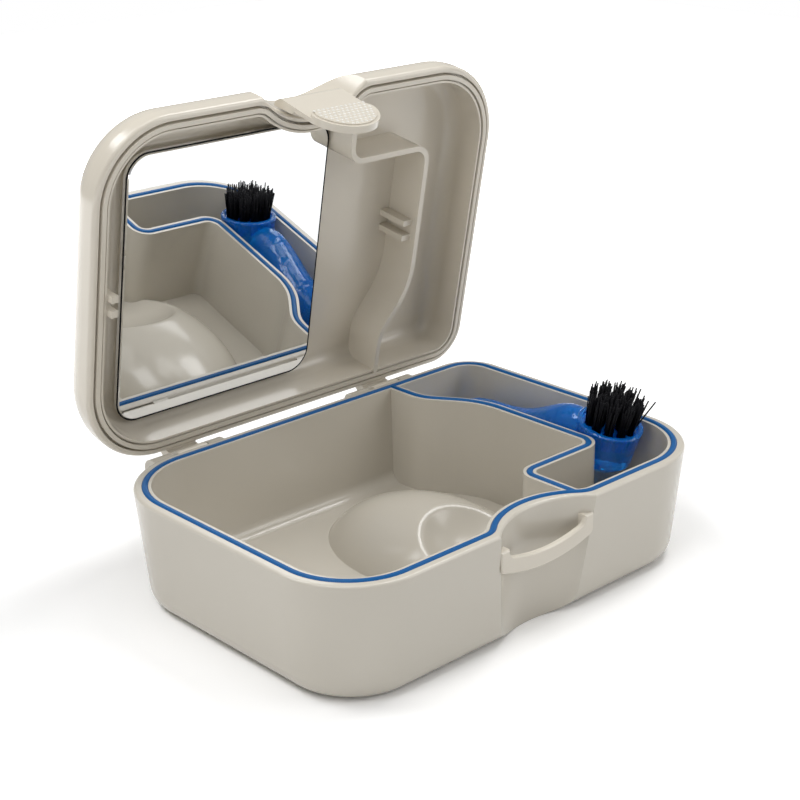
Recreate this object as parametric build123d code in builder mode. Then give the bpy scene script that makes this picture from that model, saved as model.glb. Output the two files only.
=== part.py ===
from build123d import *
import os
from math import asin, cos, degrees, radians, sin

# Denture case with a mirror lid and a brush, in millimetres.
# Origin: centre of the underside. +X right, +Y to the hinges, +Z up.

# ---- case outline, measured on the seal's centreline
seal_length = 100.0          # left to right
seal_depth = 68.9            # front to rear
corner_front_left = 14.3
corner_front_right = 16.5
corner_rear_left = 16.2
corner_rear_right = 6.0
recess_x = -0.6              # middle of the finger recess
recess_depth = 5.4
recess_radius = 18.5         # of the seal line round the recess
recess_shoulder = 5.0        # where that line turns into the front
recess_wall_radius = 19.1    # of the outer wall in the recess

# ---- base
base_height = 24.5           # underside to rim
rim_outset = 2.3             # outer wall beyond the seal line
rim_inset = 1.25             # inner wall inside the seal line
side_draft = 5.5             # degrees
foot_radius = 4.0            # round the underside
rim_radius = 0.6
floor_thickness = 2.3
inner_draft = 1.5            # degrees
floor_radius = 2.8           # floor to wall inside
lane_width = 17.2            # brush lane, from the right seal line
front_lane_depth = 15.2      # from the front seal line
front_lane_length = 39.3     # from the right seal line
rear_lane_width = 24.9       # from the right seal line
lane_step_front = 20.9       # from the rear seal line
lane_step_rear = 9.9         # from the rear seal line
lane_mouth_radius = 3.2      # bends of the divider's line, from the front
lane_shelf_radius = 3.6
lane_step_radius = 18.0
lane_end_radius = 9.0
divider_thickness = 2.6
saddle_x = 5.5               # domed support on the large floor
saddle_y = 1.5
saddle_length = 37.0
saddle_depth = 50.0
saddle_height = 10.0
saddle_flank = 22.0          # latitude at which the dome meets the floor
saddle_root = 0.5            # below the floor
scoop_x = 5.0                # hollow in the front of the dome
scoop_setback = 5.0          # its middle, behind the dome's front
scoop_radius = 22.0
scoop_floor = 0.6            # lowest point above the floor
scoop_edge = 2.0

# ---- seal
seal_thickness = 1.2
seal_sink = 1.5              # depth of its groove
seal_proud = 0.3             # above the rim
seal_chamfer = 0.3
seal_play = 0.05             # each side in the groove
seal_gap = 0.15              # seal to lid ridge when shut

# ---- lid
lid_open_angle = 79.3        # degrees from shut, as modelled
lid_height = 11.0            # rim to top, outside
lid_top_thickness = 1.4
lid_lip = 0.75               # lid edge above the rim when shut
lid_shoulder = 7.5
lid_inner_radius = 3.0
lid_edge = 0.9
ridge_thickness = 0.9        # presses on the seal
ridge_channel_outer = 1.0    # channel beside the ridge ends here, outside
ridge_channel_inner = 0.8    # and here, inside
outer_channel_depth = 1.3
inner_channel_depth = 0.8
lid_rib_thickness = 1.2
clip_length = 2.5            # pair of clips on the lid's rib
clip_thickness = 1.3
clip_start = 2.0             # above the rim when shut
clip_pitch = 3.5
clip_y = 0.6
nub_length = 1.7             # pair of nubs on the lid's left wall
nub_thickness = 1.4
nub_pitch = 3.1
nub_y = -0.7
nub_height = 3.0             # above the rim when shut
nub_reach = 0.7              # below it
nub_play = 0.3               # to the base's inner wall

# ---- mirror, by its margins
mirror_margin_left = 9.4     # from the left seal line
mirror_margin_right = 1.1    # from the front lane's end
mirror_margin_front = 7.5
mirror_margin_rear = 3.3
mirror_thickness = 1.5
mirror_corner = 5.0
mirror_edge = 0.3
mirror_overhang = 1.2        # beyond its pad
mirror_pad_height = 1.1

# ---- hinges
hinge_setback = 0.95         # pin axis behind the rim's rear face
hinge_drop = 2.4             # pin axis below the rim
pin_radius = 1.0
pin_hold = 0.02              # radial, in the base's lugs
pin_play = 0.08              # radial, in the lid's knuckle
knuckle_radius = 2.2
knuckle_gap = 0.3
pin_chamfer = 0.2
hinge_left_inset = 20.5      # middle of the left hinge to the left seal line
hinge_right_inset = 25.3     # and of the right hinge to the right one
hinge_length = 18.0
lug_left_length = 5.0
lug_right_length = 3.8
knuckle_length = 7.4
knuckle_offset = 6.5         # from the hinge's left end
arm_rise = 7.4               # top of the knuckle's arm above the pin
gusset_drop = 9.5            # foot of the lugs' gussets below the pin
gusset_turn = 20.0           # degrees below level where a gusset leaves the lug

# ---- catch bar across the recess
bar_face = 2.1               # in front of the seal line
bar_thickness = 1.0
bar_half_length = 12.9
bar_top_end = 4.4            # depths below the rim
bar_top_middle = 6.8
bar_bottom_end = 7.9
bar_bottom_middle = 10.2
bar_corner = 1.5
post_gap = 21.0
post_depth = 3.0             # front to rear
post_top = 3.7
post_radius = 1.5            # post to band
bar_seat = 0.02              # to the recess wall
bar_edge = 0.3

# ---- latch, on the lid: a tongue with a finger pad
latch_width = 15.6
latch_thickness = 0.9
latch_lean = 5.5             # degrees, foot towards the wall
latch_pivot_height = 4.0     # above the rim when shut
latch_pivot_inset = 1.5      # inside the front seal line
latch_reach = 18.2           # pivot to the foot
latch_face = 2.5             # pivot to the tongue's outer face
latch_top = 0.4              # above the pivot
latch_bend = 2.3             # rounding of the root's top
latch_root = 5.8             # height of the root
latch_root_radius = 0.6      # root to tongue, inside
latch_wall_gap = 0.3
pad_top = 9.0                # below the pivot
pad_rise = 0.6               # beyond the tongue's outer face
pad_thickness = 1.3
pad_border = 0.7
pad_height = 0.25            # raised field
pad_corner = 2.5

# ---- brush
head_setback = 18.5          # from the front seal line
head_rise = 1.0              # ring above the rim
head_tilt = 15.0             # degrees, bristles forward
head_radius = 7.1
head_foot_radius = 6.1
head_height = 9.6
head_foot_chamfer = 1.2
head_ring = 1.0              # width of the ring round the bristles
head_dish = 0.8
ring_chamfer = 0.25
tuft_hole_depth = 3.0
tuft_length = 8.0            # above the dish
tuft_play = 0.03
tuft_radius = 1.15
tuft_inner_radius = 1.05
tuft_ring = 4.5
tuft_inner_ring = 2.25
tuft_count = 10
tuft_inner_count = 5
handle_end_gap = 4.8         # handle's end to the rear seal line
handle_end_chamfer = 0.9

# handle sections: share of the way from the head, top and bottom from the rim, half width
handle_sections = (
    (0.10, 0.4, -8.0, 4.4),
    (0.27, 1.8, -12.4, 5.0),
    (0.44, -1.2, -18.6, 5.9),
    (0.62, -3.4, -21.7, 6.2),
    (0.82, -4.0, -20.6, 6.1),
    (0.94, -5.6, -16.6, 4.6),
    (1.00, -7.8, -13.4, 2.6),
)

# ---- places that follow from the sizes
front = -seal_depth / 2
rear = seal_depth / 2
right = seal_length / 2
left = -seal_length / 2
rim = base_height
floor = floor_thickness
recess_centre = (recess_x, front + recess_depth - recess_radius)
recess_wall_centre = (recess_x, front + recess_depth - rim_outset - recess_wall_radius)
hinge_y = rear + rim_outset + hinge_setback
hinge_z = rim - hinge_drop
lid_floor = rim + lid_height - lid_top_thickness
hinge_left_x = left + hinge_left_inset
hinge_right_x = right - hinge_right_inset
knuckle_starts = (
    hinge_left_x - hinge_length / 2 + knuckle_offset,
    hinge_right_x - hinge_length / 2 + knuckle_offset,
)
mirror_length = seal_length - front_lane_length - mirror_margin_left - mirror_margin_right
mirror_depth = seal_depth - mirror_margin_front - mirror_margin_rear
mirror_x = left + mirror_margin_left + mirror_length / 2
mirror_y = front + mirror_margin_front + mirror_depth / 2
dome_rise = saddle_height / (1 - sin(radians(saddle_flank)))
dome_start = degrees(asin(1 - (saddle_height + saddle_root) / dome_rise))
scoop_y = saddle_y - saddle_depth / 2 + scoop_setback
brush_x = right - lane_width / 2
head_y = front + head_setback
handle_length = rear - handle_end_gap - head_y

tuft_rings = {
    "brush_tufts_outer": (tuft_radius, tuft_ring, tuft_count),
    "brush_tufts_inner": (tuft_inner_radius, tuft_inner_ring, tuft_inner_count),
    "brush_tuft_centre": (tuft_inner_radius, 0, 1),
}

opened = radians(lid_open_angle)
hinge_frame = Plane(
    origin=(0, hinge_y, hinge_z), x_dir=(1, 0, 0), z_dir=(0, sin(opened), cos(opened))
)
lid_frame = Plane(
    origin=hinge_frame.from_local_coords(Vector(0, -hinge_y, -hinge_z)),
    x_dir=hinge_frame.x_dir,
    z_dir=hinge_frame.z_dir,
)
lid_up = Axis(lid_frame.origin, lid_frame.z_dir)


def corner_block(grow):
    """Rounded rectangle of the case, moved out from the seal line by grow."""
    with BuildSketch() as block:
        Rectangle(seal_length + 2 * grow, seal_depth + 2 * grow)
        near, far = block.vertices().group_by(Axis.Y)
        fillet(near.sort_by(Axis.X)[0], corner_front_left + grow)
        fillet(block.vertices().sort_by_distance((right, front))[0], corner_front_right + grow)
        fillet(block.vertices().sort_by_distance((left, rear))[0], corner_rear_left + grow)
        fillet(block.vertices().sort_by_distance((right, rear))[0], corner_rear_right + grow)
    return block.sketch


def outline(grow):
    """Case outline with the recess, moved out from the seal line by grow."""
    with BuildSketch() as shape:
        add(corner_block(grow))
        with Locations(recess_centre):
            Circle(recess_radius - grow, mode=Mode.SUBTRACT)
        fillet(
            shape.vertices().sort_by_distance((recess_x, front - grow))[:2],
            recess_shoulder + grow,
        )
    return shape.sketch


def brush_bay(grow):
    """Everything right of the divider's middle line, moved out by grow."""
    beyond = seal_depth
    shelf = (right - lane_width, front + front_lane_depth)
    step = (right - lane_width, rear - lane_step_front)
    step_end = (right - rear_lane_width, rear - lane_step_rear)
    mouth = (right - front_lane_length, front + front_lane_depth)
    with BuildSketch() as bay:
        Polygon(
            (right - front_lane_length, front - beyond),
            mouth,
            shelf,
            step,
            step_end,
            (right - rear_lane_width, rear + beyond),
            (right + beyond, rear + beyond),
            (right + beyond, front - beyond),
            align=None,
        )
        for corner, radius in (
            (mouth, lane_mouth_radius),
            (shelf, lane_shelf_radius),
            (step, lane_step_radius),
            (step_end, lane_end_radius),
        ):
            fillet(bay.vertices().sort_by_distance(corner)[0], radius)
        if grow:
            offset(amount=grow)
    return bay.sketch


def divider_band(width):
    """Strip of the given width along the divider, as far as the seal line."""
    with BuildSketch() as band:
        add(brush_bay(width / 2))
        add(brush_bay(-width / 2), mode=Mode.SUBTRACT)
        add(outline(0), mode=Mode.INTERSECT)
    return band.sketch


def seal_band(width):
    """Strip of the given width along the whole seal, divider included."""
    with BuildSketch() as band:
        add(outline(width / 2))
        add(outline(-width / 2), mode=Mode.SUBTRACT)
        add(divider_band(width))
    return band.sketch


def lug_profile(reach, top, foot):
    """Side view of a base lug and its gusset, about the pin axis."""
    turn = radians(gusset_turn)
    with BuildSketch() as lug:
        Circle(knuckle_radius)
        Polygon(
            (-reach, top),
            (0, top),
            (knuckle_radius * cos(turn), -knuckle_radius * sin(turn)),
            (-reach, -foot),
            align=None,
        )
    return lug.sketch


def arm_profile():
    """Side view of the lid's knuckle and its arm, about the pin axis."""
    lid_back = hinge_setback - knuckle_gap + rim_outset / 2
    arm_front = hinge_setback - knuckle_gap
    lid_edge_z = hinge_drop + lid_lip
    with BuildSketch() as arm:
        Circle(knuckle_radius)
        Polygon(
            (-arm_front, 0),
            (-arm_front, lid_edge_z + rim_radius),
            (-lid_back - arm_front, lid_edge_z + rim_radius),
            (-lid_back - arm_front, arm_rise),
            (0, arm_rise - lid_edge),
            (knuckle_radius, lid_edge_z),
            (knuckle_radius, 0),
            align=None,
        )
    return arm.sketch


# ---- hollow of the base, over both compartments
with BuildPart() as base_hollow:
    with BuildSketch(Plane.XY.offset(rim)):
        add(outline(-rim_inset))
    extrude(amount=-(rim - floor), taper=inner_draft)
    fillet(base_hollow.faces().sort_by(Axis.Z)[0].edges(), floor_radius)

# ---- saddle that carries the denture: a dome, scooped out in front
with BuildPart() as dome:
    Sphere(1, arc_size1=dome_start, align=None)
    scale(
        by=(
            saddle_length / 2 / cos(radians(saddle_flank)),
            saddle_depth / 2 / cos(radians(saddle_flank)),
            dome_rise,
        )
    )

with BuildPart() as saddle:
    with Locations((saddle_x, saddle_y, floor + saddle_height - dome_rise)):
        add(dome.part)
    with Locations((scoop_x, scoop_y, floor + scoop_floor + scoop_radius)):
        Sphere(scoop_radius, mode=Mode.SUBTRACT)
    fillet(saddle.edges().sort_by(Axis.Z)[-1], scoop_edge)
    with BuildSketch(Plane.XY.offset(floor)):
        add(brush_bay(0))
    extrude(amount=saddle_height, mode=Mode.SUBTRACT)

# ---- base
with BuildPart() as base_case:
    with BuildSketch(Plane.XY.offset(rim)):
        add(corner_block(rim_outset))
    extrude(amount=-base_height, taper=side_draft)
    fillet(base_case.faces().sort_by(Axis.Z)[0].edges(), foot_radius)
    with BuildSketch():
        with Locations(recess_wall_centre):
            Circle(recess_wall_radius)
    extrude(amount=rim, mode=Mode.SUBTRACT)
    fillet(base_case.faces().sort_by(Axis.Z)[-1].edges(), rim_radius)
    add(base_hollow.part, mode=Mode.SUBTRACT)
    with BuildSketch(Plane.XY.offset(rim)):
        add(divider_band(divider_thickness))
    extrude(amount=-(rim - floor / 2))
    add(saddle.part)
    for start in knuckle_starts:
        left_end = start - knuckle_offset
        for lug_start, length in (
            (left_end, lug_left_length),
            (left_end + hinge_length - lug_right_length, lug_right_length),
        ):
            with BuildSketch(Plane.YZ.offset(lug_start)):
                with Locations((hinge_y, hinge_z)):
                    add(lug_profile(rim_outset, knuckle_radius, gusset_drop))
            extrude(amount=length)
        with BuildSketch(Plane.YZ.offset(start - knuckle_gap)):
            with Locations((hinge_y, hinge_z)):
                Circle(knuckle_radius + knuckle_gap)
        extrude(amount=knuckle_length + 2 * knuckle_gap, mode=Mode.SUBTRACT)
        with BuildSketch(Plane.YZ.offset(left_end)):
            with Locations((hinge_y, hinge_z)):
                Circle(pin_radius + pin_hold)
        extrude(amount=hinge_length, mode=Mode.SUBTRACT)
    with BuildSketch(Plane.XY.offset(rim)):
        add(seal_band(seal_thickness + 2 * seal_play))
    extrude(amount=-seal_sink, mode=Mode.SUBTRACT)
base_case.part.label = "base_case"

# ---- seal in the rim's groove
with BuildPart() as rim_seal:
    with BuildSketch(Plane.XY.offset(rim - seal_sink)):
        add(seal_band(seal_thickness))
    extrude(amount=seal_sink + seal_proud)
    chamfer(rim_seal.faces().sort_by(Axis.Z)[-1].edges(), seal_chamfer)
rim_seal.part.label = "rim_seal"

# ---- catch bar: a drooping band between two posts
bar_plane = Plane.XZ.offset(bar_face - front)
post_length = bar_half_length - post_gap / 2


def bar_posts():
    """Front view of the two posts at the band's ends."""
    with BuildSketch() as posts:
        with Locations((recess_x, rim - (post_top + bar_bottom_end) / 2)):
            with GridLocations(post_gap + post_length, 1, 2, 1):
                Rectangle(post_length, bar_bottom_end - post_top)
    return posts.sketch


with BuildPart() as catch_bar:
    with BuildSketch(bar_plane) as band:
        with BuildLine():
            ThreePointArc(
                (recess_x - bar_half_length, rim - bar_top_end),
                (recess_x, rim - bar_top_middle),
                (recess_x + bar_half_length, rim - bar_top_end),
            )
            Line(
                (recess_x + bar_half_length, rim - bar_top_end),
                (recess_x + bar_half_length, rim - bar_bottom_end),
            )
            ThreePointArc(
                (recess_x + bar_half_length, rim - bar_bottom_end),
                (recess_x, rim - bar_bottom_middle),
                (recess_x - bar_half_length, rim - bar_bottom_end),
            )
            Line(
                (recess_x - bar_half_length, rim - bar_bottom_end),
                (recess_x - bar_half_length, rim - bar_top_end),
            )
        make_face()
        add(bar_posts())
        for side in (-1, 1):
            fillet(
                band.vertices().sort_by_distance(
                    (recess_x + side * post_gap / 2, rim - bar_top_middle)
                )[0],
                post_radius,
            )
            fillet(
                band.vertices().sort_by_distance(
                    (recess_x + side * bar_half_length, rim - bar_bottom_end)
                )[0],
                bar_corner,
            )
    extrude(amount=-bar_thickness)
    with BuildSketch(bar_plane):
        add(band.sketch_local)
        add(bar_posts(), mode=Mode.INTERSECT)
    extrude(amount=-post_depth)
    chamfer(catch_bar.faces().sort_by(Axis.Y)[0].edges(), bar_edge)
    with BuildSketch() as mouth:
        with Locations(recess_wall_centre):
            Circle(recess_wall_radius - bar_seat)
    extrude(amount=rim, mode=Mode.INTERSECT)
catch_bar.part.label = "catch_bar"


def hinge_pin(start):
    """Pin between the outer ends of one hinge's lugs."""
    with BuildPart() as pin:
        with BuildSketch(Plane.YZ.offset(start)):
            with Locations((hinge_y, hinge_z)):
                Circle(pin_radius)
        extrude(amount=hinge_length)
        chamfer(pin.edges().filter_by(GeomType.CIRCLE), pin_chamfer)
    return pin.part


hinge_pin_left = hinge_pin(knuckle_starts[0] - knuckle_offset)
hinge_pin_left.label = "hinge_pin_left"
hinge_pin_right = hinge_pin(knuckle_starts[1] - knuckle_offset)
hinge_pin_right.label = "hinge_pin_right"

# ---- hollow of the lid
with BuildPart() as lid_hollow:
    with BuildSketch(lid_frame.offset(rim)):
        add(outline(-rim_inset))
    extrude(amount=lid_floor - rim)
    fillet(lid_hollow.faces().sort_by(lid_up)[-1].edges(), lid_inner_radius)

# ---- lid
lid_side = Plane(
    origin=hinge_frame.origin, x_dir=hinge_frame.y_dir, z_dir=hinge_frame.x_dir
)
with BuildPart() as lid_shell:
    with BuildSketch(lid_frame.offset(rim + lid_lip)):
        add(corner_block(rim_outset))
    extrude(amount=lid_height - lid_lip)
    fillet(lid_shell.faces().sort_by(lid_up)[-1].edges(), lid_shoulder)
    with BuildSketch(lid_frame.offset(rim)):
        with Locations(recess_wall_centre):
            Circle(recess_wall_radius)
    extrude(amount=lid_height, mode=Mode.SUBTRACT)
    fillet(lid_shell.faces().sort_by(lid_up)[0].edges(), lid_edge)
    add(lid_hollow.part, mode=Mode.SUBTRACT)
    with BuildSketch(lid_frame.offset(rim + seal_proud + seal_gap)):
        add(divider_band(lid_rib_thickness))
    extrude(amount=lid_floor - rim - seal_proud)
    with BuildSketch(lid_frame.offset(rim)):
        add(outline(ridge_channel_outer))
        add(outline(0), mode=Mode.SUBTRACT)
    extrude(amount=lid_lip + outer_channel_depth, mode=Mode.SUBTRACT)
    with BuildSketch(lid_frame.offset(rim)):
        add(outline(0))
        add(outline(-ridge_channel_inner), mode=Mode.SUBTRACT)
    extrude(amount=lid_lip + inner_channel_depth, mode=Mode.SUBTRACT)
    with BuildSketch(lid_frame.offset(rim + seal_proud + seal_gap)):
        add(seal_band(ridge_thickness))
    extrude(amount=lid_lip + outer_channel_depth)
    with BuildSketch(lid_frame.offset(lid_floor)):
        with Locations((mirror_x, mirror_y)):
            RectangleRounded(
                mirror_length - 2 * mirror_overhang,
                mirror_depth - 2 * mirror_overhang,
                mirror_corner - mirror_overhang,
            )
    extrude(amount=-mirror_pad_height)
    for start in knuckle_starts:
        with BuildSketch(lid_side.offset(start)):
            add(arm_profile())
        extrude(amount=knuckle_length)
        with BuildSketch(lid_side.offset(start)):
            Circle(pin_radius + pin_play)
        extrude(amount=knuckle_length, mode=Mode.SUBTRACT)
    rib_face = right - lane_width - lid_rib_thickness / 2
    with BuildSketch(lid_frame.offset(rim + clip_start)):
        with Locations((rib_face, clip_y)):
            with GridLocations(1, clip_pitch, 1, 2):
                Rectangle(clip_length, clip_thickness, align=(Align.MAX, Align.CENTER))
    extrude(amount=lid_height - lid_top_thickness - clip_start)
    wall_face = left + rim_inset
    for play, low, high in (
        (0, lid_lip, nub_height),
        (nub_play, -nub_reach, lid_lip),
    ):
        with BuildSketch(lid_frame.offset(rim + low)):
            with Locations((wall_face + play, nub_y)):
                with GridLocations(1, nub_pitch, 1, 2):
                    Rectangle(
                        nub_length - play, nub_thickness, align=(Align.MIN, Align.CENTER)
                    )
        extrude(amount=high - low)
lid_shell.part.label = "lid_shell"

# ---- mirror on the lid's pad
mirror_back = lid_floor - mirror_pad_height
with BuildPart() as lid_mirror:
    with BuildSketch(lid_frame.offset(mirror_back)):
        with Locations((mirror_x, mirror_y)):
            RectangleRounded(mirror_length, mirror_depth, mirror_corner)
    extrude(amount=-mirror_thickness)
    chamfer(lid_mirror.faces().sort_by(lid_up)[0].edges(), mirror_edge)
lid_mirror.part.label = "lid_mirror"

# ---- latch: a tongue that hangs from a root on the lid's recess wall
latch_pivot = Vector(recess_x, front + latch_pivot_inset, rim + latch_pivot_height)
latch_frame = Plane(
    origin=lid_frame.from_local_coords(latch_pivot),
    x_dir=lid_frame.x_dir,
    z_dir=-lid_frame.y_dir,
).rotated((latch_lean, 0, 0))
latch_side = Plane(
    origin=latch_frame.origin, x_dir=latch_frame.z_dir, z_dir=-latch_frame.x_dir
)
foot_centre = latch_width / 2 - latch_reach


def pad_field(inset):
    """Rounded foot of the latch below the pad's top, inset from its edge."""
    with BuildSketch() as field:
        with Locations((0, foot_centre)):
            Circle(latch_width / 2 - inset)
        with Locations((0, -pad_top)):
            Rectangle(
                latch_width, latch_width, align=(Align.CENTER, Align.MIN), mode=Mode.SUBTRACT
            )
        fillet(field.vertices(), pad_corner)
    return field.sketch


with BuildPart() as latch_tongue:
    with BuildSketch(latch_side) as sheet:
        inner_face = latch_face - latch_thickness
        root_under = latch_top - latch_root
        Polygon(
            (-latch_width, latch_top),
            (latch_face, latch_top),
            (latch_face, -latch_reach),
            (inner_face, -latch_reach),
            (inner_face, root_under),
            (-latch_width, root_under),
            align=None,
        )
        outer_corner = sheet.vertices().sort_by_distance((latch_face, latch_top))[0]
        fillet(outer_corner, latch_bend)
        inner_corner = sheet.vertices().sort_by_distance((inner_face, root_under))[0]
        fillet(inner_corner, latch_root_radius)
    extrude(amount=latch_width / 2, both=True)
    with BuildSketch(latch_frame.offset(latch_face + pad_rise - pad_thickness)):
        add(pad_field(0))
    extrude(amount=pad_thickness)
    with BuildSketch(latch_frame.offset(-latch_width)):
        with Locations((0, foot_centre)):
            Rectangle(latch_width, latch_reach, align=(Align.CENTER, Align.MIN))
            Circle(latch_width / 2)
    extrude(amount=latch_width + latch_face + pad_rise, mode=Mode.INTERSECT)
    with BuildSketch(latch_frame.offset(latch_face + pad_rise)):
        add(pad_field(pad_border))
    extrude(amount=pad_height)
    with BuildSketch(lid_frame.offset(rim)):
        with Locations(recess_wall_centre):
            Circle(recess_wall_radius - latch_wall_gap)
    extrude(amount=latch_reach, both=True, mode=Mode.INTERSECT)
latch_tongue.part.label = "latch_tongue"

# ---- brush handle and head, one moulding
head_centre = (brush_x, head_y, rim + head_rise)
head_frame = Plane(
    origin=head_centre,
    x_dir=(1, 0, 0),
    z_dir=(0, -sin(radians(head_tilt)), cos(radians(head_tilt))),
)
with BuildPart() as brush_grip:
    for share, top, bottom, half_width in handle_sections:
        with BuildSketch(Plane.XZ.offset(-(head_y + share * handle_length))):
            with Locations((brush_x, rim + (top + bottom) / 2)):
                Ellipse(half_width, (top - bottom) / 2)
    loft()
    chamfer(brush_grip.faces().sort_by(Axis.Y)[-1].edges(), handle_end_chamfer)

with BuildPart() as brush_handle:
    with BuildSketch(head_frame):
        Circle(head_radius)
    with BuildSketch(head_frame.offset(-head_height)):
        Circle(head_foot_radius)
    loft()
    chamfer(brush_handle.faces().sort_by(Axis.Z)[0].edges(), head_foot_chamfer)
    chamfer(brush_handle.faces().sort_by(Axis.Z)[-1].edges(), ring_chamfer)
    add(brush_grip.part)
    with BuildSketch(head_frame):
        Circle(head_radius - head_ring)
    extrude(amount=-head_dish, mode=Mode.SUBTRACT)
    for radius, ring, count in tuft_rings.values():
        with BuildSketch(head_frame.offset(-head_dish)):
            with PolarLocations(ring, count):
                Circle(radius + tuft_play)
        extrude(amount=-tuft_hole_depth, mode=Mode.SUBTRACT)
brush_handle.part.label = "brush_handle"


def tufts(radius, ring, count):
    """One ring of bristle tufts, standing in their holes."""
    with BuildPart() as ring_part:
        with BuildSketch(head_frame.offset(-head_dish - tuft_hole_depth)):
            with PolarLocations(ring, count):
                Circle(radius)
        extrude(amount=tuft_hole_depth + tuft_length)
    return ring_part.part


tuft_parts = []
for name, sizes in tuft_rings.items():
    tuft_parts.append(tufts(*sizes))
    tuft_parts[-1].label = name

os.makedirs("parts", exist_ok=True)
for piece in (
    base_case.part,
    rim_seal.part,
    catch_bar.part,
    hinge_pin_left,
    hinge_pin_right,
    lid_shell.part,
    lid_mirror.part,
    latch_tongue.part,
    brush_handle.part,
    *tuft_parts,
):
    export_step(piece, f"parts/{piece.label}.step")
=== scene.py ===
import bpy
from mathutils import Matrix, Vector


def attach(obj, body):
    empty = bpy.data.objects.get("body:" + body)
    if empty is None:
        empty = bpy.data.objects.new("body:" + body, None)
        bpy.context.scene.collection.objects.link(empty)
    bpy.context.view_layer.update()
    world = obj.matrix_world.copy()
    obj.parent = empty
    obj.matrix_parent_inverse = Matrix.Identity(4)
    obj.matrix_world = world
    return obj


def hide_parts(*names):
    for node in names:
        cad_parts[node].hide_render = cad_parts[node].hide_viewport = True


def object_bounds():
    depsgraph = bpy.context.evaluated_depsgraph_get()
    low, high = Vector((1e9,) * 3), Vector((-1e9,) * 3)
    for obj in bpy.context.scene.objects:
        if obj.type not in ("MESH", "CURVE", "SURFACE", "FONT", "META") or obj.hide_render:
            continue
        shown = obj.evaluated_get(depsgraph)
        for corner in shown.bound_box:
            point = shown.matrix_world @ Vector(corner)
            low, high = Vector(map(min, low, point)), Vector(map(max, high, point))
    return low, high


bl_info = {
    "name": "Denture case dressing",
    "version": (1, 0, 0),
    "blender": (4, 5, 0),
    "location": "View3D > Sidebar > Denture case",
    "description": "Bristles, grip dots, finishes and a studio for a denture case with a brush",
    "category": "Object",
}

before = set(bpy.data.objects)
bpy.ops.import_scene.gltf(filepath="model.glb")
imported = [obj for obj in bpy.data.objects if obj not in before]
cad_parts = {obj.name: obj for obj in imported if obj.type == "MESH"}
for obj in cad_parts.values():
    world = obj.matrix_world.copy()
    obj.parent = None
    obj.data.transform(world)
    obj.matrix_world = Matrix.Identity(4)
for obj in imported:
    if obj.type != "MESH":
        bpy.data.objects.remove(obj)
cad_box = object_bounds()

import math
import random

import bmesh
import bpy
from bpy.props import FloatProperty, FloatVectorProperty, IntProperty, PointerProperty
from mathutils import Matrix, Vector

MM = 0.001

# The brush: its head's dish, the tufts' holes and the run of the bristles
HEAD_CENTRE = Vector((41.4, -15.95, 25.5)) * MM
HEAD_TILT = math.radians(15)
OUTER_RING = 4.5 * MM
TUFT_RINGS = ((OUTER_RING, 10), (2.25 * MM, 5), (0, 1))  # radius, tufts
TUFT_RADIUS = 0.85 * MM
HOLE_DEPTH = 1.6 * MM
UNEVEN_MM = (-0.8, 1.3)  # the least and the most added to a bristle's length
GOLDEN_ANGLE = 2.399963
TURN_PLAY = 0.3
RING_LEAN = 0.06
TUFT_LEAN = 0.05  # for each mm from the tuft's middle
LEAN_PLAY = 0.05
TIP_SHARE = 0.42  # tip radius in thicknesses
BRISTLE_SEED = 7
STRAY_FOOT = Vector((3.6, -3.6, -1.0)) * MM
STRAY_LENGTH = 1.02  # times the length of the others
STRAY_LEAN = Vector((0.27, -0.27))

# The latch's pad, in the tongue's own frame, and the pose of that frame
LATCH_PIVOT = Vector((-0.6, 30.871, 92.710)) * MM
LATCH_TURN = math.radians(-79.3)
LATCH_LEAN = math.radians(5.5)
DOTS_CENTRE = Vector((0, -10.7, 3.35)) * MM
DOTS_REACH = 7.1 * MM
DOTS_TOP = -9.0 * MM
BARE_RIM = 1.6  # in dot radii
BARE_TOP = 1.4
ROW_STEP = math.sin(math.radians(60))

# The mirror, in the frame of the shut lid, and how far the lid stands open
HINGE_AXIS = Vector((0, 37.7, 22.1)) * MM
OPENED = math.radians(-79.3)
MIRROR_CENTRE = Vector((-15.5, 2.1, 32.25)) * MM
MIRROR_HALF = (25.1 * MM, 29.05 * MM)
MIRROR_CORNER = 5.0 * MM
OUTLINE_POINTS = 32
# A black band round the mirror's edge: painted shadow, standing for the shaded gap under the
# mirror's overhang
SHADOW_BAND_INSIDE = 0.03 * MM
SHADOW_BAND_OUTSIDE = 0.22 * MM
SHADOW_BAND_TOP = -0.3 * MM
SHADOW_BAND_HEIGHT = 0.3 * MM
SHADOW_BAND_COLOUR = (0.006, 0.006, 0.007)

# The studio: each lamp's name, place and side in metres, and watts
LAMPS = (
    ("left_low_light", (-0.95, -0.1, 0.14), 0.5, 2.1),
    ("front_low_light", (0.25, -0.95, 0.14), 0.5, 0.4),
    ("left_high_light", (-0.5, -0.1, 0.9), 0.35, 2.2),
    ("front_high_light", (-0.5, -0.6, 0.75), 0.55, 1.3),
    ("right_light", (0.6, -0.7, 0.45), 0.55, 2.7),
    ("right_side_light", (0.95, -0.05, 0.4), 0.55, 0.65),
    ("right_high_light", (0.5, 0.0, 0.9), 0.4, 3.7),
    ("top_light", (0.05, -0.05, 1.0), 0.4, 1.5),
    ("rear_high_light", (-0.32, 0.5, 0.86), 0.42, 4.0),
)
LAMP_AIM = Vector((0, 0, 0.03))
GLOSS_FROM = 0.3  # lamps that hang lower leave no highlight
AMBIENT = 0.02
GLOSS_SKY = 0.35
FLOOR_REACH = 0.7
FLOOR_DROP = 0.00002
FLOOR_NEAR = (0.09, 1.06)  # distance from the floor's middle, lightness seen there
FLOOR_FAR = (0.45, 2.6)
LENS = 75.66
SENSOR = 36.0
CLIP_START = 0.01
CAMERA_PLACE = Vector((-215.59, -226.21, 156.94)) * MM
CAMERA_TURN = (1.205219, 0.010152, -0.754935)


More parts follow.
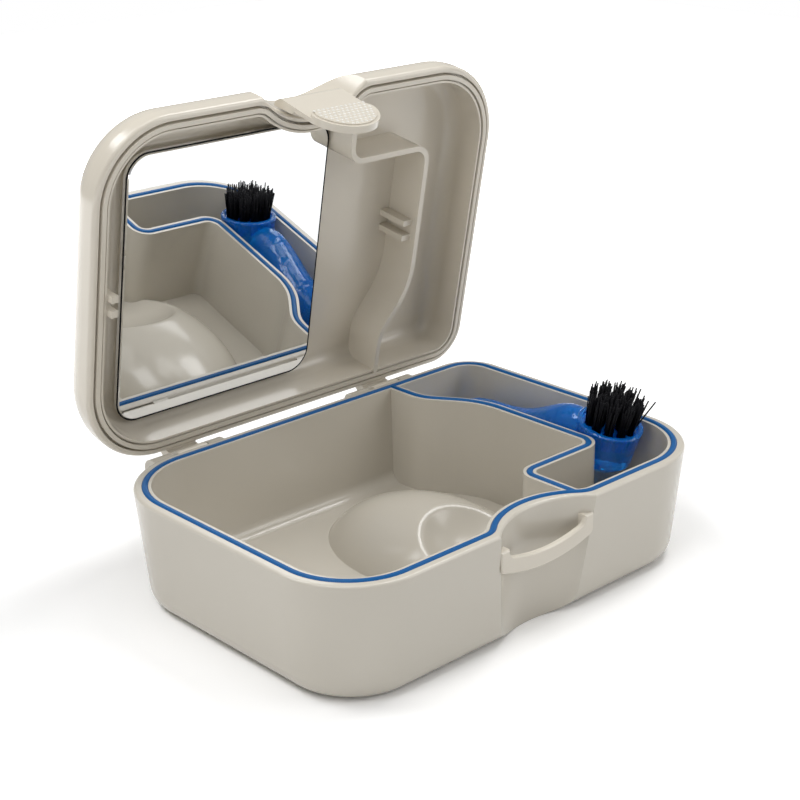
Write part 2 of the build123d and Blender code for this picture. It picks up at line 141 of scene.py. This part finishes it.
class Wire:
    """A socket of a finish. Sums and products of wires add Math nodes."""

    def __init__(self, finish, socket):
        self.finish = finish
        self.socket = socket

    def maths(self, operation, first, second):
        return self.finish.node("ShaderNodeMath", {"operation": operation}, {0: first, 1: second})

    def __add__(self, other):
        return self.maths("ADD", self, other)

    def __radd__(self, other):
        return self.maths("ADD", other, self)

    def __mul__(self, other):
        return self.maths("MULTIPLY", self, other)

    def __rmul__(self, other):
        return self.maths("MULTIPLY", other, self)

    def highest(self, other):
        return self.maths("MAXIMUM", self, other)


class Finish:
    """The nodes of a material or a world, built up from patterns."""

    def __init__(self, owner):
        owner.use_nodes = True
        self.owner = owner
        self.tree = owner.node_tree
        self.tree.nodes.clear()

    def node(self, kind, settings=None, sockets=None, output=0):
        node = self.tree.nodes.new(kind)
        for name, value in (settings or {}).items():
            setattr(node, name, value)
        for key, value in (sockets or {}).items():
            if isinstance(value, Wire):
                self.tree.links.new(value.socket, node.inputs[key])
            else:
                node.inputs[key].default_value = value
        return Wire(self, node.outputs[output]) if node.outputs else None

    def place(self, scale=(1, 1, 1)):
        here = self.node("ShaderNodeTexCoord", output="Object")
        return self.node("ShaderNodeMapping", None, {"Vector": here, "Scale": scale})

    def ray(self, kind):
        """One for rays of a kind, and nothing for all others."""
        return self.node("ShaderNodeLightPath", output=kind)

    def noise(self, where, scale, detail=2.0):
        return self.node(
            "ShaderNodeTexNoise", None, {"Vector": where, "Scale": scale, "Detail": detail}
        )

    def blend(self, amount, first, second):
        return self.node(
            "ShaderNodeMix",
            {"data_type": "RGBA", "clamp_factor": True},
            {0: amount, 6: first, 7: second},
            output=2,
        )

    def bump(self, height, strength, distance):
        return self.node(
            "ShaderNodeBump", None, {"Height": height, "Strength": strength, "Distance": distance}
        )

    def surface(self, sockets):
        shader = self.node("ShaderNodeBsdfPrincipled", None, sockets)
        self.node("ShaderNodeOutputMaterial", None, {"Surface": shader})
        return self.owner


def shade(colour, factor):
    """The colour, lighter or darker by a factor, as four numbers."""
    return (*[min(1.0, part * factor) for part in colour[:3]], 1.0)


def moulded_plastic(name, colour, roughness):
    """Satin injection-moulded plastic: faint flow marks, uneven gloss and a fine grain."""
    finish = Finish(bpy.data.materials.new(name))
    here = finish.place()
    flow = finish.noise(here, scale=14.0, detail=3.0)
    cloud = finish.noise(here, scale=60.0)
    grain = finish.noise(here, scale=2600.0, detail=1.0)
    return finish.surface({
        "Base Color": finish.blend(flow, shade(colour, 0.975), shade(colour, 1.025)),
        "Roughness": roughness - 0.02 + 0.04 * cloud,
        "IOR": 1.5,
        "Specular IOR Level": 0.5,
        "Normal": finish.bump(grain, strength=0.04, distance=0.0001),
    })


def silicone(name, colour):
    """Soft blue silicone with a skin of fine dust."""
    finish = Finish(bpy.data.materials.new(name))
    here = finish.place()
    dust = finish.noise(here, scale=900.0, detail=4.0)
    return finish.surface({
        "Base Color": finish.blend(dust, shade(colour, 0.85), shade(colour, 1.15)),
        "Roughness": 0.4 + 0.12 * dust,
        "Specular IOR Level": 0.25,
        "Normal": finish.bump(dust, strength=0.08, distance=0.0001),
    })


def silvered_glass(name):
    """Mirror glass, with a trace of uneven polish."""
    finish = Finish(bpy.data.materials.new(name))
    smear = finish.noise(finish.place(scale=(1, 4, 1)), scale=30.0, detail=3.0)
    return finish.surface({
        "Base Color": finish.blend(smear, (0.86, 0.87, 0.88, 1), (0.89, 0.9, 0.91, 1)),
        "Metallic": 1.0,
        "Roughness": 0.004 + 0.012 * smear,
    })


def bright_steel(name):
    """Drawn steel wire, scored along its length."""
    finish = Finish(bpy.data.materials.new(name))
    score = finish.noise(finish.place(scale=(0.04, 1, 1)), scale=6000.0, detail=3.0)
    return finish.surface({
        "Base Color": finish.blend(score, (0.62, 0.62, 0.64, 1), (0.8, 0.8, 0.82, 1)),
        "Metallic": 1.0,
        "Roughness": 0.16 + 0.16 * score,
        "Normal": finish.bump(score, strength=0.1, distance=0.0001),
    })


def clear_plastic(name, colour):
    """Tinted clear plastic, thick and glossy, faintly cloudy inside."""
    finish = Finish(bpy.data.materials.new(name))
    here = finish.place()
    cloud = finish.noise(here, scale=120.0, detail=3.0)
    ripple = finish.noise(here, scale=220.0, detail=1.0)
    flute = finish.noise(finish.place(scale=(1, 1, 0.12)), scale=900.0, detail=1.0)
    return finish.surface({
        "Base Color": finish.blend(cloud, shade(colour, 0.8), shade(colour, 1.2)),
        "Roughness": 0.03 + 0.08 * cloud,
        "IOR": 1.46,
        "Specular IOR Level": 0.45,
        "Transmission Weight": 0.68,
        "Normal": finish.bump(0.6 * ripple + 0.4 * flute, strength=0.4, distance=0.001),
    })


def nylon(name, colour):
    """Black nylon filament, a little lighter where it is scuffed. The same black also makes the
    painted shadow band round the mirror.
    """
    finish = Finish(bpy.data.materials.new(name))
    scuff = finish.noise(finish.place(), scale=1800.0)
    return finish.surface({
        "Base Color": finish.blend(scuff, shade(colour, 0.6), shade(colour, 1.6)),
        "Roughness": 0.35 + 0.2 * scuff,
        "Specular IOR Level": 0.12,
    })


def studio_white(name):
    """Pale floor that shows white to the camera and still takes a shadow."""
    finish = Finish(bpy.data.materials.new(name))
    looked_at = finish.ray("Is Camera Ray").highest(finish.ray("Is Glossy Ray"))
    looked_at = looked_at.highest(finish.ray("Is Transmission Ray"))
    spread = finish.noise(finish.place(), scale=3.0)
    plain = finish.node("ShaderNodeBsdfDiffuse", None, {
        "Color": finish.blend(spread, (0.8, 0.8, 0.8, 1), (0.82, 0.82, 0.82, 1)),
    })
    reach = finish.node(
        "ShaderNodeVectorMath", {"operation": "LENGTH"}, {0: finish.place()}, output="Value"
    )
    lift = finish.node("ShaderNodeMapRange", None, {
        "Value": reach, "From Min": FLOOR_NEAR[0], "From Max": FLOOR_FAR[0],
        "To Min": FLOOR_NEAR[1], "To Max": FLOOR_FAR[1],
    })
    bright = finish.node("ShaderNodeBsdfDiffuse", None, {"Color": lift})
    floor = finish.node("ShaderNodeMixShader", None, {0: looked_at, 1: plain, 2: bright})
    finish.node("ShaderNodeOutputMaterial", None, {"Surface": floor})
    return finish.owner


def finished_object(name, mesh, material, body, replaced=()):
    """Turns a bmesh into a shown piece that rides on a body."""
    bmesh.ops.recalc_face_normals(mesh, faces=mesh.faces)
    data = bpy.data.meshes.new(name)
    mesh.to_mesh(data)
    mesh.free()
    data.shade_smooth()
    data.materials.append(material)
    piece = bpy.data.objects.new(name, data)
    bpy.context.scene.collection.objects.link(piece)
    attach(piece, body)
    if replaced:
        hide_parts(*replaced)
    return piece


def rounded(grow):
    """Points round the mirror's outline, moved out by grow."""
    radius = MIRROR_CORNER + grow
    points = []
    for number in range(OUTLINE_POINTS):
        angle = 2 * math.pi * (number + 0.5) / OUTLINE_POINTS
        across, up = math.cos(angle), math.sin(angle)
        points.append((
            math.copysign(MIRROR_HALF[0] - MIRROR_CORNER, across) + radius * across,
            math.copysign(MIRROR_HALF[1] - MIRROR_CORNER, up) + radius * up,
        ))
    return points


def paint(node, material):
    """Gives a carried-over CAD node its finish."""
    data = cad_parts[node].data
    data.materials.clear()
    data.materials.append(material)


class CaseColours(bpy.types.PropertyGroup):
    """Colours of the mouldings and the seal."""

    base: FloatVectorProperty(
        name="Base", description="Colour of the base moulding", subtype="COLOR",
        size=3, min=0, max=1, default=(0.575, 0.538, 0.466),
    )
    # The lid's colour is the base's made lighter as painted light, to match how bright the lid
    # shows under these lamps
    lid: FloatVectorProperty(
        name="Lid", description="Colour of the lid, latch and catch bar", subtype="COLOR",
        size=3, min=0, max=1, default=(0.67, 0.62, 0.53),
    )
    seal: FloatVectorProperty(
        name="Seal", description="Colour of the silicone seal", subtype="COLOR",
        size=3, min=0, max=1, default=(0.002, 0.09, 0.28),
    )
    gloss: FloatProperty(
        name="Roughness", description="Mean roughness of the mouldings",
        min=0, max=1, default=0.18,
    )


class BrushSizes(bpy.types.PropertyGroup):
    """Sizes and colours of the brush's bristles and handle."""

    handle: FloatVectorProperty(
        name="Handle", description="Tint of the clear handle", subtype="COLOR",
        size=3, min=0, max=1, default=(0.008, 0.3, 1.0),
    )
    bristle: FloatVectorProperty(
        name="Bristle", description="Colour of the bristles", subtype="COLOR",
        size=3, min=0, max=1, default=(0.0025, 0.0025, 0.004),
    )
    length: FloatProperty(
        name="Length", description="Length of the bristles, which varies by about a millimetre",
        unit="LENGTH", min=0.002, max=0.02, default=0.0074,
    )
    thickness: FloatProperty(
        name="Thickness", description="Diameter of one bristle",
        unit="LENGTH", min=0.0001, max=0.001, default=0.00042,
    )
    per_tuft: IntProperty(
        name="Per tuft", description="Bristles in one tuft", min=5, max=80, default=22,
    )


class GripDots(bpy.types.PropertyGroup):
    """Raised dots on the latch's pad."""

    pitch: FloatProperty(
        name="Pitch", description="Distance between dots",
        unit="LENGTH", min=0.0005, max=0.005, default=0.00115,
    )
    radius: FloatProperty(
        name="Radius", description="Radius of a dot",
        unit="LENGTH", min=0.0001, max=0.002, default=0.00036,
    )
    height: FloatProperty(
        name="Height", description="How far a dot stands out",
        unit="LENGTH", min=0.00005, max=0.001, default=0.00013,
    )


class DENTURE_OT_case(bpy.types.Operator):
    """Finish the mouldings, seal, mirror and hinge pins, and lay a painted shadow band round the
    mirror
    """

    bl_idname = "denture.case"
    bl_label = "Case finishes"

    def execute(self, context):
        colours = context.scene.case_colours
        base = moulded_plastic("base_plastic", colours.base, colours.gloss)
        # the lid plastic's extra lightness over the base is painted light
        lid = moulded_plastic("lid_plastic", colours.lid, colours.gloss)
        for node in ("lid_shell", "latch_tongue", "catch_bar"):
            paint(node, lid)
        paint("base_case", base)
        paint("rim_seal", silicone("seal_silicone", colours.seal))
        paint("lid_mirror", silvered_glass("mirror_glass"))
        # black band of painted shadow round the mirror's edge
        self.mirror_shadow_band(nylon("mirror_shadow_paint", SHADOW_BAND_COLOUR))
        pins = bright_steel("pin_steel")
        for node in ("hinge_pin_left", "hinge_pin_right"):
            paint(node, pins)
        return {"FINISHED"}

    def mirror_shadow_band(self, material):
        """Thin black band round the mirror's edge, on the lid: painted shadow standing for the
        shaded gap under the mirror's overhang.
        """
        band = bmesh.new()
        sheet = band.faces.new([
            band.verts.new((*corner, SHADOW_BAND_TOP)) for corner in rounded(SHADOW_BAND_OUTSIDE)
        ])
        bmesh.ops.recalc_face_normals(band, faces=[sheet])
        ring = bmesh.ops.inset_region(
            band, faces=[sheet], thickness=SHADOW_BAND_OUTSIDE - SHADOW_BAND_INSIDE,
            use_boundary=True, use_even_offset=False,
        )["faces"]
        bmesh.ops.delete(band, geom=[sheet], context="FACES")
        wall = bmesh.ops.extrude_face_region(band, geom=ring)["geom"]
        lower = [part for part in wall if isinstance(part, bmesh.types.BMVert)]
        bmesh.ops.translate(band, verts=lower, vec=(0, 0, -SHADOW_BAND_HEIGHT))
        shut = Matrix.Translation(MIRROR_CENTRE - HINGE_AXIS)
        place = Matrix.Translation(HINGE_AXIS) @ Matrix.Rotation(OPENED, 4, "X") @ shut
        bmesh.ops.transform(band, verts=band.verts, matrix=place)
        finished_object("mirror_edge_painted_shadow", band, material, "lid")


class DENTURE_OT_dots(bpy.types.Operator):
    """Raise a field of grip dots on the latch's pad"""

    bl_idname = "denture.dots"
    bl_label = "Grip dots"

    def execute(self, context):
        sizes = context.scene.grip_dots
        reach = DOTS_REACH - BARE_RIM * sizes.radius
        top = DOTS_TOP - BARE_TOP * sizes.radius
        dots = bmesh.new()
        rows = int(reach / sizes.pitch) + 1
        for row in range(-rows, rows + 1):
            y = DOTS_CENTRE.y + row * sizes.pitch * ROW_STEP
            for column in range(-rows, rows + 1):
                x = (column + 0.5 * (row % 2)) * sizes.pitch
                if math.hypot(x, y - DOTS_CENTRE.y) > reach or y > top:
                    continue
                dot = bmesh.ops.create_uvsphere(dots, u_segments=8, v_segments=6, radius=1)
                bmesh.ops.scale(
                    dots, verts=dot["verts"], vec=(sizes.radius, sizes.radius, sizes.height)
                )
                bmesh.ops.translate(dots, verts=dot["verts"], vec=(x, y, DOTS_CENTRE.z))
        upright = Matrix(((1, 0, 0), (0, 0, -1), (0, 1, 0))).to_4x4()
        lean = upright @ Matrix.Rotation(LATCH_LEAN, 4, "X")
        place = Matrix.Translation(LATCH_PIVOT) @ Matrix.Rotation(LATCH_TURN, 4, "X") @ lean
        bmesh.ops.transform(dots, verts=dots.verts, matrix=place)
        lid = bpy.data.materials["lid_plastic"]
        finished_object("latch_grip_dots", dots, lid, "latch")
        return {"FINISHED"}


class DENTURE_OT_brush(bpy.types.Operator):
    """Set the bristles in the brush head and finish the handle"""

    bl_idname = "denture.brush"
    bl_label = "Brush"

    def execute(self, context):
        sizes = context.scene.brush_sizes
        paint("brush_handle", clear_plastic("brush_plastic", sizes.handle))
        chance = random.Random(BRISTLE_SEED)
        bristles = bmesh.new()
        for ring, count in TUFT_RINGS:
            for number in range(count):
                angle = 2 * math.pi * number / count
                self.tuft(bristles, sizes, chance, ring, angle)
        self.strand(bristles, sizes, STRAY_FOOT, STRAY_LENGTH * sizes.length, STRAY_LEAN)
        place = Matrix.Translation(HEAD_CENTRE) @ Matrix.Rotation(HEAD_TILT, 4, "X")
        bmesh.ops.transform(bristles, verts=bristles.verts, matrix=place)
        black = nylon("bristle_nylon", sizes.bristle)
        finished_object(
            "brush_bristles", bristles, black, "brush",
            ("brush_tufts_outer", "brush_tufts_inner", "brush_tuft_centre"),
        )
        return {"FINISHED"}

    def tuft(self, bristles, sizes, chance, ring, angle):
        """One tuft of bristles that fan outwards from their hole."""
        foot = Vector((ring * math.cos(angle), ring * math.sin(angle), -HOLE_DEPTH))
        for strand in range(sizes.per_tuft):
            spread = math.sqrt((strand + 0.5) / sizes.per_tuft)
            turn = strand * GOLDEN_ANGLE + chance.uniform(-TURN_PLAY, TURN_PLAY)
            offset = Vector((math.cos(turn), math.sin(turn), 0)) * spread * TUFT_RADIUS
            length = sizes.length + chance.uniform(*UNEVEN_MM) * MM
            away = Vector((math.cos(angle), math.sin(angle), 0)) * (ring / OUTER_RING)
            lean = away * RING_LEAN + offset / MM * TUFT_LEAN
            lean += Vector((chance.gauss(0, LEAN_PLAY), chance.gauss(0, LEAN_PLAY), 0))
            self.strand(bristles, sizes, foot + offset, length, lean)

    def strand(self, bristles, sizes, foot, length, lean):
        """One bristle, sheared sideways by its lean."""
        made = bmesh.ops.create_cone(
            bristles, cap_ends=True, segments=4,
            radius1=sizes.thickness / 2, radius2=sizes.thickness * TIP_SHARE, depth=length,
        )
        verts = made["verts"]
        bmesh.ops.translate(bristles, verts=verts, vec=(0, 0, length / 2))
        shear = Matrix.Identity(4)
        shear[0][2], shear[1][2] = lean.x, lean.y
        bmesh.ops.transform(bristles, verts=verts, matrix=shear)
        bmesh.ops.translate(bristles, verts=verts, vec=foot)


class DENTURE_OT_stage(bpy.types.Operator):
    """Lay the pale floor, hang the soft lights and set up the camera"""

    bl_idname = "denture.stage"
    bl_label = "Studio"

    def execute(self, context):
        scene = context.scene
        scene.view_settings.view_transform = "Standard"
        self.world(scene)
        ground = bmesh.new()
        bmesh.ops.create_grid(ground, x_segments=1, y_segments=1, size=FLOOR_REACH)
        data = bpy.data.meshes.new("floor")
        ground.to_mesh(data)
        ground.free()
        data.materials.append(studio_white("floor_white"))
        floor = bpy.data.objects.new("floor", data)
        floor.location.z = cad_box[0][2] - FLOOR_DROP
        scene.collection.objects.link(floor)
        for lamp in LAMPS:
            self.lamp(*lamp)
        lens = bpy.data.cameras.new("camera")
        lens.sensor_width = SENSOR
        lens.lens = LENS
        lens.clip_start = CLIP_START
        camera = bpy.data.objects.new("camera", lens)
        camera.location = CAMERA_PLACE
        camera.rotation_euler = CAMERA_TURN
        scene.collection.objects.link(camera)
        scene.camera = camera
        return {"FINISHED"}

    def world(self, scene):
        """White all round to the eye, grey in what shines, and hardly a light."""
        world = bpy.data.worlds.new("studio")
        finish = Finish(world)
        seen = finish.ray("Is Camera Ray").highest(finish.ray("Is Transmission Ray"))
        sky = finish.node(
            "ShaderNodeMapRange", None, {"Value": seen, "To Min": AMBIENT, "To Max": 1.0}
        )
        strength = GLOSS_SKY * finish.ray("Is Glossy Ray") + sky
        white = finish.node(
            "ShaderNodeBackground", None, {"Color": (1, 1, 1, 1), "Strength": strength}
        )
        finish.node("ShaderNodeOutputWorld", None, {"Surface": white})
        scene.world = world

    def lamp(self, name, where, size, power):
        """A square soft light aimed at the case."""
        light = bpy.data.lights.new(name, "AREA")
        light.shape = "SQUARE"
        light.size = size
        light.energy = power
        lamp = bpy.data.objects.new(name, light)
        lamp.location = where
        lamp.visible_camera = False
        lamp.visible_glossy = where[2] > GLOSS_FROM
        aim = LAMP_AIM - Vector(where)
        lamp.rotation_euler = aim.to_track_quat("-Z", "Y").to_euler()
        bpy.context.scene.collection.objects.link(lamp)


class DENTURE_PT_panel(bpy.types.Panel):
    """Sizes, colours and steps of the denture case"""

    bl_label = "Denture case"
    bl_space_type = "VIEW_3D"
    bl_region_type = "UI"
    bl_category = "Denture case"

    def draw(self, context):
        scene = context.scene
        for group in (scene.case_colours, scene.grip_dots, scene.brush_sizes):
            box = self.layout.box()
            for name in group.__annotations__:
                box.prop(group, name)
        for step in STEPS:
            self.layout.operator(step.bl_idname)


STEPS = (DENTURE_OT_case, DENTURE_OT_dots, DENTURE_OT_brush, DENTURE_OT_stage)
GROUPS = {"case_colours": CaseColours, "grip_dots": GripDots, "brush_sizes": BrushSizes}


def register():
    for item in (*GROUPS.values(), *STEPS, DENTURE_PT_panel):
        bpy.utils.register_class(item)
    for name, group in GROUPS.items():
        setattr(bpy.types.Scene, name, PointerProperty(type=group))


def unregister():
    for name in GROUPS:
        delattr(bpy.types.Scene, name)
    for item in (DENTURE_PT_panel, *reversed(STEPS), *GROUPS.values()):
        bpy.utils.unregister_class(item)


def main():
    register()
    bpy.ops.denture.case()
    bpy.ops.denture.dots()
    bpy.ops.denture.brush()
    bpy.ops.denture.stage()


if __name__ == "__main__":
    main()
